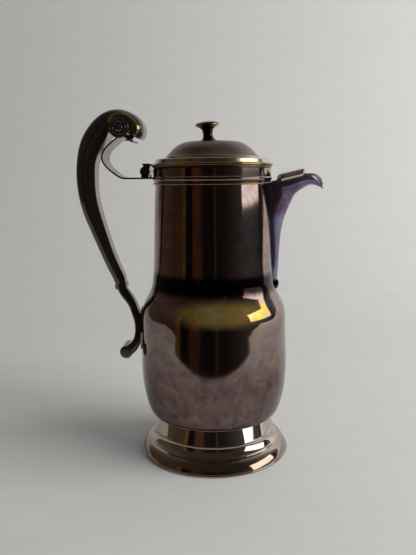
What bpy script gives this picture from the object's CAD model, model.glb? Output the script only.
# %% [markdown]
# A lidded jug of tarnished silver plate
#
# The real jug is sheet brass, raised and spun into shape, soldered together and silver plated. The plate
# has darkened to brown, plum and gold, and where hands and cloths have rubbed it the brass shows along the
# edges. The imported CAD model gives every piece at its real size, so this file loads it first and never
# moves it.

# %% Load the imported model
import math

import bpy
from mathutils import Matrix, Vector


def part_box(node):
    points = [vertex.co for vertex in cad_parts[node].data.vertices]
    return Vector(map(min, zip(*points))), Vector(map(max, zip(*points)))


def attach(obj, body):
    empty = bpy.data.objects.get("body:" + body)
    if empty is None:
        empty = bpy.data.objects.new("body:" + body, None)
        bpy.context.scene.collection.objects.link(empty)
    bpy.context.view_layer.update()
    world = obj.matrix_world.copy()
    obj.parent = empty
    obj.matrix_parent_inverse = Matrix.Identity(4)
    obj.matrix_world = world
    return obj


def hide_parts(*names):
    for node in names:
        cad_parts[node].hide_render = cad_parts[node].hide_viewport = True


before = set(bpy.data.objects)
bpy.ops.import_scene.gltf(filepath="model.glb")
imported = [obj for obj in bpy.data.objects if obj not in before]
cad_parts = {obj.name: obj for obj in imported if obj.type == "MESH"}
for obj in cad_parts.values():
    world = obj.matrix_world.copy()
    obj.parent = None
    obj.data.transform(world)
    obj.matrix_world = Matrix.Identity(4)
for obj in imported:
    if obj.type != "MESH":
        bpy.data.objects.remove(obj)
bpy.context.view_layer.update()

MM = 0.001

# %% [markdown]
# Camera
#
# The camera that fits the photograph stands about 37 cm away, 7 mm below the level of the mouth's edge, and
# looks 9 degrees down. A camera could be set by eye, but the handle, the lid and the foot only line up
# together when its distance is right. So its place, tilt and focal length were worked out from the ellipses
# of the foot, the lid ring and the belly. It stands slightly on the spout's side, so the spout is a little
# nearer to it than the handle, and it turns back by 3 degrees to face the jug.

# %% Place the camera
PHOTO_W, PHOTO_H, FOCAL_PX = 416, 555, 590
SENSOR_MM = 36
CAMERA_MM = (16.29, -374.26, 175.1)
TURN, TILT, ROLL = (math.radians(d) for d in (3.0, 9.36, -0.6))
RIM_UP = 185

camera_data = bpy.data.cameras.new("camera")
camera_data.sensor_width = SENSOR_MM
camera_data.lens = SENSOR_MM * FOCAL_PX / PHOTO_H
camera = bpy.data.objects.new("camera", camera_data)
bpy.context.scene.collection.objects.link(camera)
facing = (Matrix.Rotation(TURN, 4, "Z") @ Matrix.Rotation(math.pi / 2 - TILT, 4, "X")
          @ Matrix.Rotation(ROLL, 4, "Z"))
camera.matrix_world = Matrix.Translation(Vector(CAMERA_MM) * MM) @ facing
bpy.context.scene.camera = camera


def in_photo(x, y, z):
    """Where a point in millimetres falls in the 416 by 555 picture."""
    near = camera.matrix_world.inverted() @ (Vector((x, y, z)) * MM)
    return (round(PHOTO_W / 2 - FOCAL_PX * near.x / near.z, 1),
            round(PHOTO_H / 2 + FOCAL_PX * near.y / near.z, 1))


print("axis of the jug at the foot and the rim, in the picture:", in_photo(0, 0, 0), in_photo(0, 0, RIM_UP))

# %% [markdown]
# Colours and nodes
#
# Colours are easiest to compare with a photograph as sRGB hex codes, but a shader works in linear light, so
# one function turns the one into the other. A second small function adds a node, sets it up and links it,
# which keeps each material short enough to read. Most sockets can be named, but the Mix node and the Map
# Range node hold several sockets of the same name, so those are numbered, and the numbers get names here.

# %% Helpers for materials
FACTOR, FIRST, SECOND, MIXED = 0, 6, 7, 2
FROM_MIN, FROM_MAX, TO_MIN, TO_MAX = 1, 2, 3, 4
X, Y, Z = 0, 1, 2


def linear(hex_code):
    """An sRGB hex code as the linear RGBA that shaders work in."""
    parts = [int(hex_code[i:i + 2], 16) / 255 for i in (1, 3, 5)]
    return tuple(c / 12.92 if c <= 0.04045 else ((c + 0.055) / 1.055) ** 2.4 for c in parts) + (1.0,)


def add(tree, kind, settings=None, inputs=None, stops=None):
    """Adds one node; inputs go by name or number, and stops are a colour ramp's positions and hex codes."""
    node = tree.nodes.new(kind)
    for name, value in (settings or {}).items():
        setattr(node, name, value)
    for key, value in (inputs or {}).items():
        if isinstance(value, bpy.types.NodeSocket):
            tree.links.new(value, node.inputs[key])
        else:
            node.inputs[key].default_value = value
    for i, (place, hex_code) in enumerate(stops or ()):
        element = node.color_ramp.elements[i] if i < 2 else node.color_ramp.elements.new(place)
        element.position, element.color = place, linear(hex_code)
    return node


def blank_material(name):
    """A material with no nodes yet, and the tree to build in."""
    material = bpy.data.materials.new(name)
    material.use_nodes = True
    material.node_tree.nodes.clear()
    return material, material.node_tree


print("white in linear light:", [round(c, 3) for c in linear("#ffffff")])

# %% [markdown]
# Floor and backdrop
#
# The jug stands on a sheet of pale paper that curves up behind it. A floor and a wall could be two planes,
# but they would meet in a visible corner. One swept surface has none: a flat floor, a quarter turn of large
# radius and an upright wall.

# %% Floor and backdrop in one sweep, in metres
SWEEP_WIDTH, SWEEP_BACK, SWEEP_RADIUS = 30.0, 0.75, 0.45
SWEEP_HEIGHT, SWEEP_FRONT, CURVE_STEPS = 6.0, -15.0, 24

profile = [(SWEEP_FRONT, 0.0), (SWEEP_BACK - SWEEP_RADIUS, 0.0)]
for step in range(1, CURVE_STEPS + 1):
    a = math.pi / 2 * step / CURVE_STEPS
    profile.append((SWEEP_BACK - SWEEP_RADIUS + SWEEP_RADIUS * math.sin(a), SWEEP_RADIUS * (1 - math.cos(a))))
profile.append((SWEEP_BACK, SWEEP_HEIGHT))
corners = [(side * SWEEP_WIDTH / 2, y, z) for y, z in profile for side in (-1, 1)]
strips = [(2 * i, 2 * i + 1, 2 * i + 3, 2 * i + 2) for i in range(len(profile) - 1)]
sweep_mesh = bpy.data.meshes.new("paper_sweep")
sweep_mesh.from_pydata(corners, [], strips)
sweep_mesh.polygons.foreach_set("use_smooth", [True] * len(strips))
sweep = bpy.data.objects.new("paper_sweep", sweep_mesh)
bpy.context.scene.collection.objects.link(sweep)
print("sweep:", len(strips), "strips")

# %% [markdown]
# Paper
#
# Matt white paper scatters light and hardly mirrors, so it is rough with a low specular level. Its fibres
# are too fine to see from here. What shows is a soft unevenness, from a noise that is left on the sweep's
# own box: its patches are about 33 mm wide, 17 mm deep on the floor and 7 mm tall on the wall.
#
# Polished metal also shows where the real sheet ended, as the dark wedge on the belly. The sweep could be
# cut to that size, but then the camera would see its edges. So for glossy rays only, it is clear outside
# the sheet's own size, and the metal sees the dim room past it.

# %% Paper that is clear to glossy rays outside the real sheet
SHEET_LEFT, SHEET_RIGHT, SHEET_FRONT = -0.89, 1.15, -0.225
PATCHES_PER_SIDE = 900.0
PAPER, PAPER_DARKER = "#dbdbd9", "#d3d3d1"

paper, tree = blank_material("Matte white paper")
uneven = add(tree, "ShaderNodeTexNoise", {}, {"Scale": PATCHES_PER_SIDE, "Detail": 3.0})
paper_colour = add(tree, "ShaderNodeMix", {"data_type": "RGBA"},
                   {FACTOR: uneven.outputs[0], FIRST: linear(PAPER), SECOND: linear(PAPER_DARKER)})
paper_shader = add(tree, "ShaderNodeBsdfPrincipled", {},
                   {"Base Color": paper_colour.outputs[MIXED], "Roughness": 0.9, "Specular IOR Level": 0.2})
place = add(tree, "ShaderNodeSeparateXYZ", {}, {0: add(tree, "ShaderNodeTexCoord").outputs["Object"]})
glossy = add(tree, "ShaderNodeLightPath").outputs["Is Glossy Ray"]
sides = [add(tree, "ShaderNodeMath", {"operation": test}, {0: place.outputs[axis], 1: edge}).outputs[0]
         for test, axis, edge in (("LESS_THAN", Y, SHEET_FRONT), ("LESS_THAN", X, SHEET_LEFT),
                                  ("GREATER_THAN", X, SHEET_RIGHT))]
past = add(tree, "ShaderNodeMath", {"operation": "MAXIMUM"}, {0: sides[0], 1: sides[1]}).outputs[0]
past = add(tree, "ShaderNodeMath", {"operation": "MAXIMUM"}, {0: past, 1: sides[2]}).outputs[0]
clear = add(tree, "ShaderNodeMath", {"operation": "MULTIPLY"}, {0: past, 1: glossy}).outputs[0]
paper_mix = add(tree, "ShaderNodeMixShader", {},
                {0: clear, 1: paper_shader.outputs[0], 2: add(tree, "ShaderNodeBsdfTransparent").outputs[0]})
add(tree, "ShaderNodeOutputMaterial", {}, {"Surface": paper_mix.outputs[0]})
sweep_mesh.materials.append(paper)
print("sheet in metres:", round(SHEET_RIGHT - SHEET_LEFT, 2), "wide")

# %% [markdown]
# Light
#
# Soft daylight comes from the right, through a window that the metal mirrors. One lamp could be both, but
# then its size would have to suit the shadow and the reflection at once. So a lamp near the jug lights the
# paper and casts the soft shadow, and it is hidden from glossy rays, because polished metal would show it
# as a second white panel. A larger one farther away is the window that shows in the metal.

# %% Daylight and window
AIM = (0, 0, 0.1)


def area_lamp(name, place, wide, tall, radiance, colour):
    """A rectangular lamp aimed at the jug, in metres; radiance is how bright its face looks."""
    data = bpy.data.lights.new(name, "AREA")
    data.shape, data.size, data.size_y = "RECTANGLE", wide, tall
    data.energy, data.color = radiance * math.pi * wide * tall, colour
    lamp = bpy.data.objects.new(name, data)
    bpy.context.scene.collection.objects.link(lamp)
    lamp.location = place
    lamp.rotation_euler = (Vector(AIM) - lamp.location).to_track_quat("-Z", "Y").to_euler()
    return lamp


daylight = area_lamp("daylight", place=(1.3, -0.34, 0.8), wide=1.5, tall=1.2, radiance=4.2,
                     colour=(1.0, 0.995, 0.985))
daylight.visible_glossy = False
area_lamp("window", place=(2.95, -0.4, 0.87), wide=2.4, tall=1.25, radiance=2.6, colour=(1.0, 0.95, 0.87))
print("lamps:", [light.name for light in bpy.data.lights])

# %% [markdown]
# Room
#
# Polished metal shows its room more than its own colour. A room could be built from walls and furniture,
# but the jug only mirrors it as soft upright stripes, so the world holds it as plain panels by direction.
# The angles go round the jug: 90 is on the left, 180 is in front, 270 is on the right, and 0 and 360 are
# behind. It is nearly black in front, brown on the left, grey on the right and pale behind. Overhead it is
# dim in front and on the left, and brighter behind and on the right. Paper and other matt things get an
# even fill of light instead, and the camera sees a plain pale grey.

# %% Colours by direction
PANELS = ((0, "#8a8076"), (45, "#8a8076"), (60, "#594b3f"), (84, "#534639"), (104, "#463527"),
          (122, "#4a3620"), (124.5, "#5c4c2c"), (128, "#5c4c2c"), (131, "#1a120d"), (142, "#150f0c"),
          (146, "#4c3024"), (160, "#452f26"), (163, "#211c19"), (176, "#191615"), (185, "#1c1817"),
          (187, "#4a3d36"), (189, "#1f1b1a"), (206, "#262220"), (222, "#3a3634"), (240, "#4c4a4b"),
          (262, "#51575a"), (282, "#3e4246"), (286, "#2b2d30"), (292, "#2b2d30"), (298, "#77777a"),
          (360, "#8f8f90"))
OVERHEAD = ((0, "#a49c92"), (50, "#6a6056"), (95, "#4c433b"), (120, "#3a322c"), (235, "#3a322c"),
            (262, "#5c544c"), (288, "#8f8c88"), (310, "#c4c2bf"), (360, "#a49c92"))
BELOW, FILL, BEHIND_JUG = "#1e1a18", "#f3f3f5", "#d2d1ce"
FILL_STRENGTH = 0.25
OVERHEAD_FROM, OVERHEAD_FULL, BELOW_FROM, BELOW_FULL = 0.25, 0.5, -0.1, -0.5
print("panels round the room:", len(PANELS), "and overhead:", len(OVERHEAD))

# %% World from those colours
world = bpy.data.worlds.new("room")
bpy.context.scene.world = world
world.use_nodes = True
tree = world.node_tree
tree.nodes.clear()
looking = add(tree, "ShaderNodeSeparateXYZ", {}, {0: add(tree, "ShaderNodeTexCoord").outputs["Generated"]})
to_front = add(tree, "ShaderNodeMath", {"operation": "MULTIPLY"}, {0: looking.outputs[Y], 1: -1.0})
angle = add(tree, "ShaderNodeMath", {"operation": "ARCTAN2"}, {0: looking.outputs[X], 1: to_front.outputs[0]})
share = add(tree, "ShaderNodeMapRange", {}, {0: angle.outputs[0], FROM_MIN: -math.pi, FROM_MAX: math.pi})
panels = add(tree, "ShaderNodeValToRGB", {}, {0: share.outputs[0]}, [(a / 360, c) for a, c in PANELS])
overhead = add(tree, "ShaderNodeValToRGB", {}, {0: share.outputs[0]}, [(a / 360, c) for a, c in OVERHEAD])
high = add(tree, "ShaderNodeMapRange", {"interpolation_type": "SMOOTHSTEP"},
           {0: looking.outputs[Z], FROM_MIN: OVERHEAD_FROM, FROM_MAX: OVERHEAD_FULL})
low = add(tree, "ShaderNodeMapRange", {"interpolation_type": "SMOOTHSTEP"},
          {0: looking.outputs[Z], FROM_MIN: BELOW_FROM, FROM_MAX: BELOW_FULL})
room = add(tree, "ShaderNodeMix", {"data_type": "RGBA"},
           {FACTOR: high.outputs[0], FIRST: panels.outputs[0], SECOND: overhead.outputs[0]})
room = add(tree, "ShaderNodeMix", {"data_type": "RGBA"},
           {FACTOR: low.outputs[0], FIRST: room.outputs[MIXED], SECOND: linear(BELOW)})
mirrored = add(tree, "ShaderNodeBackground", {}, {"Color": room.outputs[MIXED], "Strength": 1.0})
fill = add(tree, "ShaderNodeBackground", {}, {"Color": linear(FILL), "Strength": FILL_STRENGTH})
seen = add(tree, "ShaderNodeBackground", {}, {"Color": linear(BEHIND_JUG), "Strength": 1.0})
ray = add(tree, "ShaderNodeLightPath")
lit = add(tree, "ShaderNodeMixShader", {},
          {0: ray.outputs["Is Glossy Ray"], 1: fill.outputs[0], 2: mirrored.outputs[0]})
whole = add(tree, "ShaderNodeMixShader", {},
            {0: ray.outputs["Is Camera Ray"], 1: lit.outputs[0], 2: seen.outputs[0]})
add(tree, "ShaderNodeOutputWorld", {}, {"Surface": whole.outputs[0]})
bpy.context.scene.view_settings.view_transform = "Standard"
print("nodes in the room:", len(tree.nodes))

# %% [markdown]
# Tarnish: how thick the film is
#
# Silver tarnishes in films. A thin film is straw gold, a thicker one grey brown, then plum, and a thick one
# nearly black. It could be painted as an image, but a pattern worked out from position needs no picture and
# runs on over the joins between pieces. So the shader builds one number, the film's thickness, from
# blotches, from bands and from oval patches. The large patch on the front of the shoulder is where the film
# is thin and gold.

# %% Thickness of the film
FILM = ((0.0, "#d9d1c4"), (0.14, "#cdbd86"), (0.28, "#b3a23c"), (0.4, "#a3937c"), (0.52, "#958a86"),
        (0.66, "#7b6c69"), (0.8, "#5c4a45"), (0.92, "#383030"), (1.0, "#1c1918"))
BAND_CORE, PATCH_CORE, PATCH_SQUASH = 0.35, 0.4, 4.5


def cells(size_mm):
    """The scale of a pattern with features of this size, because Object coordinates are in metres."""
    return 1000 / size_mm


def summed(tree, level, along, bands):
    """Adds soft bands to a level; each is (place in mm, half width in mm, change)."""
    for centre, width, change in bands:
        away = add(tree, "ShaderNodeMath", {"operation": "SUBTRACT"}, {0: along, 1: centre * MM}).outputs[0]
        away = add(tree, "ShaderNodeMath", {"operation": "ABSOLUTE"}, {0: away}).outputs[0]
        near = add(tree, "ShaderNodeMapRange", {"interpolation_type": "SMOOTHSTEP"},
                   {0: away, FROM_MIN: BAND_CORE * width * MM, FROM_MAX: width * MM, TO_MIN: change,
                    TO_MAX: 0.0}).outputs[0]
        level = add(tree, "ShaderNodeMath", {"operation": "ADD"}, {0: level, 1: near}).outputs[0]
    return level


def patches(tree, level, where, spots):
    """Adds oval patches to a level; each is (centre in mm, half width in mm, change), wider than tall."""
    for centre, width, change in spots:
        flat = add(tree, "ShaderNodeMapping", {},
                   {"Vector": where, "Scale": (1.0, 1.0, PATCH_SQUASH)}).outputs[0]
        middle = (centre[X] * MM, centre[Y] * MM, centre[Z] * MM * PATCH_SQUASH)
        away = add(tree, "ShaderNodeVectorMath", {"operation": "DISTANCE"},
                   {0: flat, 1: middle}).outputs["Value"]
        near = add(tree, "ShaderNodeMapRange", {"interpolation_type": "SMOOTHSTEP"},
                   {0: away, FROM_MIN: PATCH_CORE * width * MM, FROM_MAX: width * MM, TO_MIN: change,
                    TO_MAX: 0.0}).outputs[0]
        level = add(tree, "ShaderNodeMath", {"operation": "ADD"}, {0: level, 1: near}).outputs[0]
    return level


def film_level(tree, where, up, film, blotch, blotch_mm, bands, spots):
    """One number for the film: blotches either side of a middle value, then bands up the jug and patches."""
    clouds = add(tree, "ShaderNodeTexNoise", {}, {"Vector": where, "Scale": cells(blotch_mm), "Detail": 6.0,
                                                  "Roughness": 0.62, "Distortion": 0.6})
    level = add(tree, "ShaderNodeMath", {"operation": "MULTIPLY_ADD"},
                {0: clouds.outputs[0], 1: 2 * blotch, 2: film - blotch}).outputs[0]
    return patches(tree, summed(tree, level, up, bands), where, spots)


print("steps from clean to black:", len(FILM))

# %% [markdown]
# Tarnish: what colour it gives
#
# A colour ramp turns the film's thickness into a colour. One ramp alone would give the same brown
# everywhere, so a second noise makes the film warmer here and cooler there. Pinholes in the plate show the
# brass under it. Real ones are too small to see from here, so they are drawn about a millimetre across.

# %% Colour of the film
WARM, COOL, TINT_MM, TINT_FROM, TINT_TO = "#ffe2c6", "#e0def6", 9, 0.38, 0.62
PINHOLE, PINHOLE_CELL_MM, PINHOLE_SHARE = "#e2cf8e", 7, 0.08


def film_colour(tree, where, level, colours, mottle, pinholes):
    """The film's colour; mottle is the strength of the warm and cool tint, pinholes the share of cells."""
    colour = add(tree, "ShaderNodeValToRGB", {}, {0: level}, colours)
    clouds = add(tree, "ShaderNodeTexNoise", {}, {"Vector": where, "Scale": cells(TINT_MM), "Detail": 7.0,
                                                  "Roughness": 0.65, "Distortion": 0.6})
    lean = add(tree, "ShaderNodeMapRange", {}, {0: clouds.outputs[0], FROM_MIN: TINT_FROM, FROM_MAX: TINT_TO})
    tint = add(tree, "ShaderNodeMix", {"data_type": "RGBA"},
               {FACTOR: lean.outputs[0], FIRST: linear(WARM), SECOND: linear(COOL)})
    shade = add(tree, "ShaderNodeMix", {"data_type": "RGBA", "blend_type": "MULTIPLY"},
                {FACTOR: mottle, FIRST: colour.outputs[0], SECOND: tint.outputs[MIXED]}).outputs[MIXED]
    if pinholes:
        cell = add(tree, "ShaderNodeTexVoronoi", {}, {"Vector": where, "Scale": cells(PINHOLE_CELL_MM)})
        small = add(tree, "ShaderNodeMath", {"operation": "LESS_THAN"},
                    {0: cell.outputs["Distance"], 1: PINHOLE_SHARE})
        pick = add(tree, "ShaderNodeSeparateColor", {}, {0: cell.outputs["Color"]})
        rare = add(tree, "ShaderNodeMath", {"operation": "LESS_THAN"}, {0: pick.outputs[0], 1: pinholes})
        hole = add(tree, "ShaderNodeMath", {"operation": "MULTIPLY"},
                   {0: small.outputs[0], 1: rare.outputs[0]})
        shade = add(tree, "ShaderNodeMix", {"data_type": "RGBA"},
                    {FACTOR: hole.outputs[0], FIRST: shade, SECOND: linear(PINHOLE)}).outputs[MIXED]
    return shade


print("pinholes in mm across:", round(2 * PINHOLE_SHARE * PINHOLE_CELL_MM, 1))

# %% [markdown]
# Silver plate as one material
#
# Old plate is still a mirror, but not a clean one. Where the film is thick it is hazier, so the film's
# number also drives the roughness. A cloth leaves upright wiping marks. Real ones are finer than a pixel,
# so they are drawn 1.2 mm wide, in the roughness and a very shallow bump. The hammer that raised the body
# left waves about 14 mm across. In the gold patch the metal is a little less metallic, as a greasy haze
# makes it, so its gold shows even where it mirrors a dark room. The worn line on the volute is placed by
# its distance from the jug's middle plane.

# %% Material for every plated piece
PATCH_HAZE, WORN = 0.6, "#c9ae66"
THIN_FILM, THICK_FILM = 0.3, 1.15
WIPE_MM, WIPE_TALL, WIPE_SHARE, WIPE_DEEP_MM = 1.2, 20, 0.35, 0.0015
HAMMER_MM, HAMMER_DEEP_MM = 14, 0.02


def plated(name, film, blotch, blotch_mm, haze, colours=FILM, bands=(), spots=(), dull=(), mottle=0.5,
           pinholes=0.0, worn=(), metal=1.0):
    """Silver plate under tarnish.

    Blotches of blotch_mm make the film thicker or thinner by up to about blotch. haze is the roughness under
    a thin and under a thick film. bands and spots change the film, dull changes the roughness by height, and
    worn gives lines rubbed to brass by their distance from the middle plane.
    """
    material, tree = blank_material(name)
    where = add(tree, "ShaderNodeTexCoord").outputs["Object"]
    axes = add(tree, "ShaderNodeSeparateXYZ", {}, {0: where})
    up = axes.outputs[Z]
    level = film_level(tree, where, up, film, blotch, blotch_mm, bands, spots)
    shade = film_colour(tree, where, level, colours, mottle, pinholes)
    if spots:
        metal = add(tree, "ShaderNodeMath", {"operation": "MULTIPLY_ADD"},
                    {0: patches(tree, 0.0, where, spots), 1: PATCH_HAZE, 2: metal}).outputs[0]
    if worn:
        across = add(tree, "ShaderNodeMath", {"operation": "ABSOLUTE"}, {0: axes.outputs[Y]}).outputs[0]
        line = summed(tree, 0.0, across, worn)
        shade = add(tree, "ShaderNodeMix", {"data_type": "RGBA"},
                    {FACTOR: line, FIRST: shade, SECOND: linear(WORN)}).outputs[MIXED]
    upright = add(tree, "ShaderNodeMapping", {}, {"Vector": where, "Scale": (1.0, 1.0, 1 / WIPE_TALL)})
    wiped = add(tree, "ShaderNodeTexNoise", {},
                {"Vector": upright.outputs[0], "Scale": cells(WIPE_MM), "Detail": 3.0})
    marked = add(tree, "ShaderNodeMath", {"operation": "MULTIPLY_ADD"},
                 {0: wiped.outputs[0], 1: WIPE_SHARE, 2: level})
    rough = add(tree, "ShaderNodeMapRange", {},
                {0: marked.outputs[0], FROM_MIN: THIN_FILM, FROM_MAX: THICK_FILM, TO_MIN: haze[0],
                 TO_MAX: haze[1]})
    rough = summed(tree, rough.outputs[0], up, dull)
    waves = add(tree, "ShaderNodeTexNoise", {}, {"Vector": where, "Scale": cells(HAMMER_MM), "Detail": 1.0})
    hammered = add(tree, "ShaderNodeBump", {},
                   {"Strength": 1.0, "Distance": HAMMER_DEEP_MM * MM, "Height": waves.outputs[0]})
    scuffed = add(tree, "ShaderNodeBump", {}, {"Strength": 0.5, "Distance": WIPE_DEEP_MM * MM,
                                               "Height": wiped.outputs[0], "Normal": hammered.outputs[0]})
    shader = add(tree, "ShaderNodeBsdfPrincipled", {},
                 {"Base Color": shade, "Metallic": metal, "Roughness": rough, "Normal": scuffed.outputs[0]})
    add(tree, "ShaderNodeOutputMaterial", {}, {"Surface": shader.outputs[0]})
    return material


# %% [markdown]
# Finishes of the jug
#
# With one finish all over, the jug would look cast in one piece. On the real one each piece has aged in its
# own way: the foot is rubbed nearly clean, the handle is almost black, the spout has a violet bloom and the
# wires are worn to brass. They are all the same plate, so the same function makes them with other numbers
# and ramps. Bands are given by their height on the jug in millimetres.

# %% Ramps for plate that has aged in other ways
SILVER = ((0.0, "#d6cec5"), (0.4, "#c6bdb3"), (0.7, "#a79b8e"), (1.0, "#75685c"))
VIOLET = ((0.0, "#a9b5b2"), (0.25, "#96989c"), (0.45, "#77708f"), (0.6, "#65506c"), (0.78, "#5a4142"),
          (1.0, "#272022"))
BLACK = ((0.0, "#8b8580"), (0.3, "#736e69"), (0.6, "#57524e"), (1.0, "#2c2827"))
BRASS = ((0.0, "#d8c690"), (0.3, "#a8905a"), (0.55, "#7d6a48"), (0.8, "#4f4230"), (1.0, "#2b2118"))
print("ramps besides the common one: silver, violet, black, brass")

# %% Finishes of the body, foot, lid and spout
# Raised brass, plated, tarnished in blotches: a mirror in brown and plum,
# darkest where the neck meets the shoulder.
body_plate = plated("Tarnished silver plate, body", film=0.54, blotch=0.27, blotch_mm=8, haze=(0.035, 0.12),
                    bands=((38, 38, 0.15), (113, 7.5, 0.5)), spots=(((7, -45, 98), 44, -0.33),),
                    dull=((26, 38, 0.12),), mottle=0.7, pinholes=0.35)
# Spun brass, plated and rubbed nearly clean: the brightest mirror on the jug.
foot_plate = plated("Worn silver plate, foot", film=0.36, blotch=0.2, blotch_mm=12, haze=(0.03, 0.09),
                    colours=SILVER, bands=((4, 6, 0.35),), mottle=0.2)
# Pressed brass, plated, evenly tarnished and hazy: a soft brown sheen, with its low step rubbed pale.
lid_plate = plated("Tarnished silver plate, lid", film=0.66, blotch=0.1, blotch_mm=9, haze=(0.22, 0.34),
                   bands=((187.2, 3.0, -0.75),), mottle=0.4)
# Rolled strip, plated, half tarnished: brown streaks that still mirror sharply.
band_plate = plated("Tarnished silver plate, band", film=0.5, blotch=0.12, blotch_mm=9, haze=(0.05, 0.14))
# Turned brass, plated, almost black, with a gold line where fingers rub its rim.
knob_plate = plated("Blackened silver plate, knob", film=0.92, blotch=0.08, blotch_mm=5, haze=(0.1, 0.2),
                    bands=((208.6, 1.6, -0.6),))
# Folded sheet, plated, with a bloom from blue grey to violet: darker and duller than the body.
spout_plate = plated("Tarnished silver plate, spout", film=0.4, blotch=0.36, blotch_mm=7, haze=(0.1, 0.22),
                     colours=VIOLET, bands=((163, 14, 0.2),), metal=0.92)

# %% Finishes of the handle, the wires and the pin
# Hollow handle, plated, nearly black and glossy, with a gold line worn along the volute.
handle_plate = plated("Blackened silver plate, handle", film=0.5, blotch=0.18, blotch_mm=10,
                      haze=(0.08, 0.18), colours=BLACK, mottle=0.25, worn=((11.6, 0.45, 1.0),), metal=0.92)
# Thin bent strip, plated, with uneven brown tarnish and a satin gloss.
strap_plate = plated("Worn silver plate, strap", film=0.6, blotch=0.22, blotch_mm=5, haze=(0.14, 0.28),
                     mottle=0.3)
# Half-round ring, plated, dark below, with its upper half worn to a gold line.
ring_plate = plated("Silver plate worn to brass, lid ring", film=0.8, blotch=0.08, blotch_mm=6,
                    haze=(0.08, 0.18), bands=((184.9, 1.2, -0.52),))
# Twisted wire, plated and rubbed pale: cream, with small darker blotches.
rope_plate = plated("Worn silver plate, rope bars", film=0.35, blotch=0.4, blotch_mm=2.5, haze=(0.1, 0.2),
                    colours=SILVER, mottle=0.3)
# Drawn brass wire that has lost its plate: a dull yellow brown line.
bare_brass = plated("Tarnished brass, wires", film=0.4, blotch=0.2, blotch_mm=6, haze=(0.15, 0.28),
                    colours=BRASS)
# Brass rod that nothing rubs: brown and matt.
pin_brass = plated("Dull brass, hinge pin", film=0.7, blotch=0.2, blotch_mm=3, haze=(0.2, 0.4), colours=BRASS)
print("finishes:", [m.name for m in bpy.data.materials])

# %% Give the CAD pieces their finish
FINISHES = {
    body_plate: ("body_shell", "belly_pad", "spout_drop"),
    foot_plate: ("foot", "foot_wire"),
    lid_plate: ("lid_dome",),
    band_plate: ("neck_band", "lid_bezel", "lid_leaf", "handle_inner_strip"),
    knob_plate: ("knob",),
    spout_plate: ("spout",),
    handle_plate: ("handle_grip", "handle_ferrule", "handle_terminal", "volute_roll", "volute_boss_front",
                   "volute_boss_back", "hinge_seat"),
    strap_plate: ("handle_strap",),
    rope_plate: ("spout_rope_front", "spout_rope_back"),
    ring_plate: ("lid_ring",),
    bare_brass: ("neck_bead", "spout_rim_wire"),
    pin_brass: ("hinge_pin", "knob_stud", "knob_nut"),
}
for finish, names in FINISHES.items():
    for name in names:
        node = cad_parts[name]
        node.data.materials.clear()
        node.data.materials.append(finish)
print("finished pieces:", sum(len(names) for names in FINISHES.values()), "of", len(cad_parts))

# %% [markdown]
# Geometry Nodes from a script
#
# The foot is turned from one outline, and the spout carries rows of beads and lumps. These follow rules, so
# Geometry Nodes can make them. A tree could stay on its object as a modifier, but what is exported has to
# be a plain mesh. So one helper starts a tree with named inputs, and another runs it on an empty mesh,
# keeps the result as a new object and throws the modifier away. A third makes a curve for a tree to read.

# %% Helpers that make a path, build a tree, and run it
def path_object(name, points, closed):
    """A curve through points in metres, for a tree to read."""
    data = bpy.data.curves.new(name, "CURVE")
    data.dimensions = "3D"
    spline = data.splines.new("POLY")
    spline.points.add(len(points) - 1)
    spline.points.foreach_set("co", [c for point in points for c in (*point, 1.0)])
    spline.use_cyclic_u = closed
    path = bpy.data.objects.new(name, data)
    bpy.context.scene.collection.objects.link(path)
    return path


def new_tree(name, inputs):
    """A Geometry Nodes tree and its inputs' sockets; each input is (name, socket type, first value)."""
    tree = bpy.data.node_groups.new(name, "GeometryNodeTree")
    for title, kind, value in inputs:
        socket = tree.interface.new_socket(name=title, in_out="INPUT", socket_type=kind)
        if value is not None:
            socket.default_value = value
    tree.interface.new_socket(name="Geometry", in_out="OUTPUT", socket_type="NodeSocketGeometry")
    return tree, add(tree, "NodeGroupInput").outputs


def made_by(tree, name, settings):
    """Runs a tree on an empty mesh and returns the result as a plain object."""
    carrier = bpy.data.objects.new(name + "_carrier", bpy.data.meshes.new(name + "_carrier"))
    bpy.context.scene.collection.objects.link(carrier)
    modifier = carrier.modifiers.new("tree", "NODES")
    modifier.node_group = tree
    sockets = {item.name: item.identifier for item in tree.interface.items_tree if item.in_out == "INPUT"}
    for title, value in settings.items():
        modifier[sockets[title]] = value
    carrier.update_tag()
    ready = carrier.evaluated_get(bpy.context.evaluated_depsgraph_get())
    mesh = bpy.data.meshes.new_from_object(ready)
    mesh.name = name
    bpy.data.objects.remove(carrier)
    piece = bpy.data.objects.new(name, mesh)
    bpy.context.scene.collection.objects.link(piece)
    return piece


# %% [markdown]
# Foot
#
# A spinner presses the foot over a turning block, so every level of it is a circle. It could be made with
# the Spin tool or a Screw modifier. Geometry Nodes are used here, because one tree can bend a plain grid
# round the axis: its columns run round the jug, its rows follow the outline, and named inputs set how fine
# it is. The collar and skirt lean out a little more than in the CAD model, so that they mirror the room and
# not the floor.

# %% Sizes of the foot, in millimetres
foot_low, foot_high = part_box("foot")
FOOT_TOP, FOOT_EDGE, FOOT_SHEET = foot_high.z / MM, foot_high.x / MM, 1.0
COLLAR_R, COLLAR_FLARE, RIDGE_DROP = 34.9, 3.6, 10.3
LEDGE_IN, LEDGE_DROP, RIM_TALL = 5.7, 16.5, 1.7
SEAM_IN, SEAM_DROP = 6, 0.9
BEND_STEPS = 12
print("foot: radius at the top", COLLAR_R, "and the table", round(FOOT_EDGE, 1), "tall", round(FOOT_TOP, 1))


# %% Outline of the foot, as distance from the axis and height above the table
def off(corner, out, up):
    """A point a little out and up from a corner, which rounds it the way the photograph shows."""
    return corner[0] + out, corner[1] + up


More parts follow.
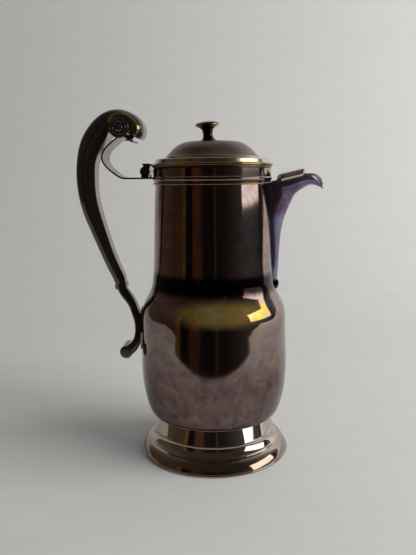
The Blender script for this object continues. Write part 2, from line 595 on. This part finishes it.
def bend(start, towards, end):
    """Points on one smooth bend, without its last point."""
    shares = [i / BEND_STEPS for i in range(BEND_STEPS)]
    return [tuple((1 - t) ** 2 * a + 2 * t * (1 - t) * b + t * t * c for a, b, c in zip(start, towards, end))
            for t in shares]


def foot_outline():
    """The whole section of the sheet, down its outside and back up its inside."""
    top, rim, thin = (COLLAR_R, FOOT_TOP), (FOOT_EDGE, RIM_TALL), FOOT_SHEET
    ridge = (COLLAR_R + COLLAR_FLARE, FOOT_TOP - RIDGE_DROP)
    ledge = (FOOT_EDGE - LEDGE_IN, FOOT_TOP - LEDGE_DROP)
    collar_end, cove_end = off(ridge, -0.3, 0.7), off(ledge, -0.8, 0.8)
    collar = bend(top, off(top, 1.72, -5.0), collar_end) + [collar_end]
    bead = [off(ridge, 0.35, 0.45), off(ridge, 0.35, 0.0)]
    cove = bend(off(ridge, -0.1, -0.3), (ridge[0] + 0.6, ledge[1] + 2.9), cove_end) + [cove_end]
    skirt = [off(ledge, -0.3, 0.6)] + bend(ledge, (FOOT_EDGE - 1.9, ledge[1] - 1.0), rim) + [rim]
    table = [(FOOT_EDGE, 0), (FOOT_EDGE - thin, 0)]
    under_ledge, under_top = off(ledge, -0.9, -1.1), (COLLAR_R - thin, FOOT_TOP - SEAM_DROP)
    inside = bend(off(rim, -thin, 0), (FOOT_EDGE - 2.9, ledge[1] - 2.1), under_ledge)
    inside += bend(under_ledge, (ridge[0] - 1.2, ledge[1] + 1.2), off(ridge, -thin, -0.1))
    inside += bend(off(ridge, -thin - 0.5, 0.9), (COLLAR_R - 0.1, FOOT_TOP - 5.3), under_top) + [under_top]
    seam = [(COLLAR_R - SEAM_IN, FOOT_TOP - SEAM_DROP), (COLLAR_R - SEAM_IN, FOOT_TOP)]
    return collar + bead + cove + skirt + table + inside + seam


outline = path_object("foot_outline", [(r * MM, 0.0, z * MM) for r, z in foot_outline()], True)
print("foot outline points:", len(outline.data.splines[0].points))

# %% Tree that turns an outline round the jug's axis
ROUND, ROWS, WELD = 192, 280, 0.01 * MM
tree, given = new_tree("turned_sheet", (("Outline", "NodeSocketObject", None),
                                        ("Round", "NodeSocketInt", ROUND),
                                        ("Rows", "NodeSocketInt", ROWS),
                                        ("Material", "NodeSocketMaterial", None)))
edge = add(tree, "GeometryNodeObjectInfo", {"transform_space": "RELATIVE"}, {"Object": given["Outline"]})
grid = add(tree, "GeometryNodeMeshGrid", {}, {"Size X": 1.0, "Size Y": 1.0, "Vertices X": given["Round"],
                                              "Vertices Y": given["Rows"]})
at = add(tree, "ShaderNodeSeparateXYZ", {}, {0: add(tree, "GeometryNodeInputPosition").outputs[0]})
along = add(tree, "ShaderNodeMath", {"operation": "ADD"}, {0: at.outputs[Y], 1: 0.5})
angle = add(tree, "ShaderNodeMath", {"operation": "MULTIPLY"}, {0: at.outputs[X], 1: 2 * math.pi})
point = add(tree, "GeometryNodeSampleCurve", {"mode": "FACTOR", "use_all_curves": True},
            {"Curves": edge.outputs["Geometry"], "Factor": along.outputs[0]})
turned = add(tree, "ShaderNodeVectorRotate", {"rotation_type": "Z_AXIS"},
             {"Vector": point.outputs["Position"], "Angle": angle.outputs[0]})
placed = add(tree, "GeometryNodeSetPosition", {},
             {"Geometry": grid.outputs["Mesh"], "Position": turned.outputs[0]})
closed = add(tree, "GeometryNodeMergeByDistance", {}, {"Geometry": placed.outputs[0], "Distance": WELD})
smooth = add(tree, "GeometryNodeSetShadeSmooth", {}, {"Geometry": closed.outputs[0]})
real = add(tree, "GeometryNodeRealizeInstances", {}, {"Geometry": smooth.outputs[0]})
dressed = add(tree, "GeometryNodeSetMaterial", {},
              {"Geometry": real.outputs[0], "Material": given["Material"]})
add(tree, "NodeGroupOutput", {}, {0: dressed.outputs[0]})
print("nodes that turn a sheet:", len(tree.nodes))

# %% Turned foot in place of the CAD foot
foot = made_by(tree, "spun_foot", {"Outline": outline, "Round": ROUND, "Rows": ROWS, "Material": foot_plate})
bpy.data.objects.remove(outline)
# A closed mesh whose faces point outwards has a positive volume.
# A negative one means that they point inwards.
volume = sum(face.center.dot(face.normal) * face.area for face in foot.data.polygons) / 3
if volume < 0:
    foot.data.flip_normals()
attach(foot, "jug")
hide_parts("foot")
print("foot faces:", len(foot.data.polygons), "metal in cubic mm:", round(abs(volume) / MM ** 3))

# %% [markdown]
# Beaded border of the spout
#
# The wire along the spout's edge was rolled with a row of fine beads before it was soldered on. Each bead
# could be placed by hand or by an array on a curve. A tree that spaces points along the wire and puts one
# small sphere on each keeps the pitch even whatever the wire's length, and the beads end up as one plain
# mesh.

# %% Path along the top of the spout's wire, with sizes in millimetres
BEAD_R, BEAD_PITCH = 0.42, 0.95
STRETCH_LONG, OFF_MIDDLE, BEAD_SUNK = 1.6, 0.3, 0.1
wire = [vertex.co.copy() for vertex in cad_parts["spout_rim_wire"].data.vertices]
wire_start, wire_end = min(v.x for v in wire), max(v.x for v in wire)


def wire_top(side):
    """The highest point of the wire in each short stretch along x, on one side of the jug."""
    long = STRETCH_LONG * MM
    places = []
    for i in range(int((wire_end - wire_start) / long)):
        from_x = wire_start + i * long
        near = [v for v in wire if from_x <= v.x < from_x + long and v.y * side > OFF_MIDDLE * MM]
        if near:
            top = max(near, key=lambda v: v.z)
            places.append((from_x + long / 2, top.y, top.z - BEAD_SUNK * MM))
    return places


border = path_object("border_path", wire_top(-1) + wire_top(1)[::-1], False)
print("border path points:", len(border.data.splines[0].points))

# %% Tree that strings beads on a path
tree, given = new_tree("beaded_wire", (("Path", "NodeSocketObject", None),
                                       ("Pitch", "NodeSocketFloat", BEAD_PITCH * MM),
                                       ("Bead radius", "NodeSocketFloat", BEAD_R * MM),
                                       ("Stretch", "NodeSocketVector", (1.0, 1.0, 1.0)),
                                       ("Lean", "NodeSocketVector", (0.0, 0.0, 0.0)),
                                       ("Material", "NodeSocketMaterial", None)))
string = add(tree, "GeometryNodeObjectInfo", {"transform_space": "RELATIVE"}, {"Object": given["Path"]})
spaced = add(tree, "GeometryNodeResampleCurve", {"mode": "LENGTH"},
             {"Curve": string.outputs["Geometry"], "Length": given["Pitch"]})
bead = add(tree, "GeometryNodeMeshUVSphere", {}, {"Segments": 8, "Rings": 6, "Radius": given["Bead radius"]})
strung = add(tree, "GeometryNodeInstanceOnPoints", {},
             {"Points": spaced.outputs[0], "Instance": bead.outputs["Mesh"], "Scale": given["Stretch"],
              "Rotation": given["Lean"]})
smooth = add(tree, "GeometryNodeSetShadeSmooth", {}, {"Geometry": strung.outputs[0]})
real = add(tree, "GeometryNodeRealizeInstances", {}, {"Geometry": smooth.outputs[0]})
dressed = add(tree, "GeometryNodeSetMaterial", {},
              {"Geometry": real.outputs[0], "Material": given["Material"]})
add(tree, "NodeGroupOutput", {}, {0: dressed.outputs[0]})
print("nodes that string beads:", len(tree.nodes))

# %% Beads on the spout's wire
beads = made_by(tree, "spout_beads", {"Path": border, "Pitch": BEAD_PITCH * MM, "Bead radius": BEAD_R * MM,
                                      "Material": strap_plate})
bpy.data.objects.remove(border)
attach(beads, "jug")
print("bead faces:", len(beads.data.polygons))

# %% [markdown]
# Twist of the rope bars
#
# Each bar on the spout is two wires twisted together, so it shows slanting lumps. The wires could be swept
# as two real helices. The tree above already spaces pieces along a path, so it is run again for each bar,
# with its beads made wider than they are long and leaned over. They are sized by the bar's half extent
# across the jug. The bars run at a slant, so that is twice their own radius of 1.3 mm, and the lumps run
# together into one thick sleeve round each bar. Lumps that follow the real twist would need the bar's own
# radius and a wider pitch.

# %% Lumps round both bars, with the pitch in millimetres and the rest as shares of the half extent
ROPE_PITCH, ROPE_REACH, ROPE_STRETCH, ROPE_LEAN = 1.5, 1.12, 1.35, math.radians(35)
ROPE_INSET, END_SHARE = 0.3, 6


def bar_line(name):
    """The two ends of a bar's middle line, moved in a little, and half of the bar's extent across the jug."""
    points = sorted((vertex.co.copy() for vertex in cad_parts[name].data.vertices), key=lambda v: v.x)
    count = len(points) // END_SHARE
    start, end = (sum(group, Vector()) / count for group in (points[:count], points[-count:]))
    half = (max(v.y for v in points) - min(v.y for v in points)) / 2
    inset = (end - start).normalized() * half * ROPE_INSET
    return (tuple(start + inset), tuple(end - inset)), half


for name in ("spout_rope_front", "spout_rope_back"):
    ends, half = bar_line(name)
    bar = path_object(name + "_path", ends, False)
    twist = made_by(tree, name + "_twist",
                    {"Path": bar, "Pitch": ROPE_PITCH * MM, "Bead radius": half * ROPE_REACH / ROPE_STRETCH,
                     "Stretch": (1.0, ROPE_STRETCH, ROPE_STRETCH), "Lean": (0.0, ROPE_LEAN, 0.0),
                     "Material": rope_plate})
    bpy.data.objects.remove(bar)
    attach(twist, "jug")
    print(twist.name, "reaches in mm:", round(half * ROPE_REACH / MM, 2), "faces:", len(twist.data.polygons))
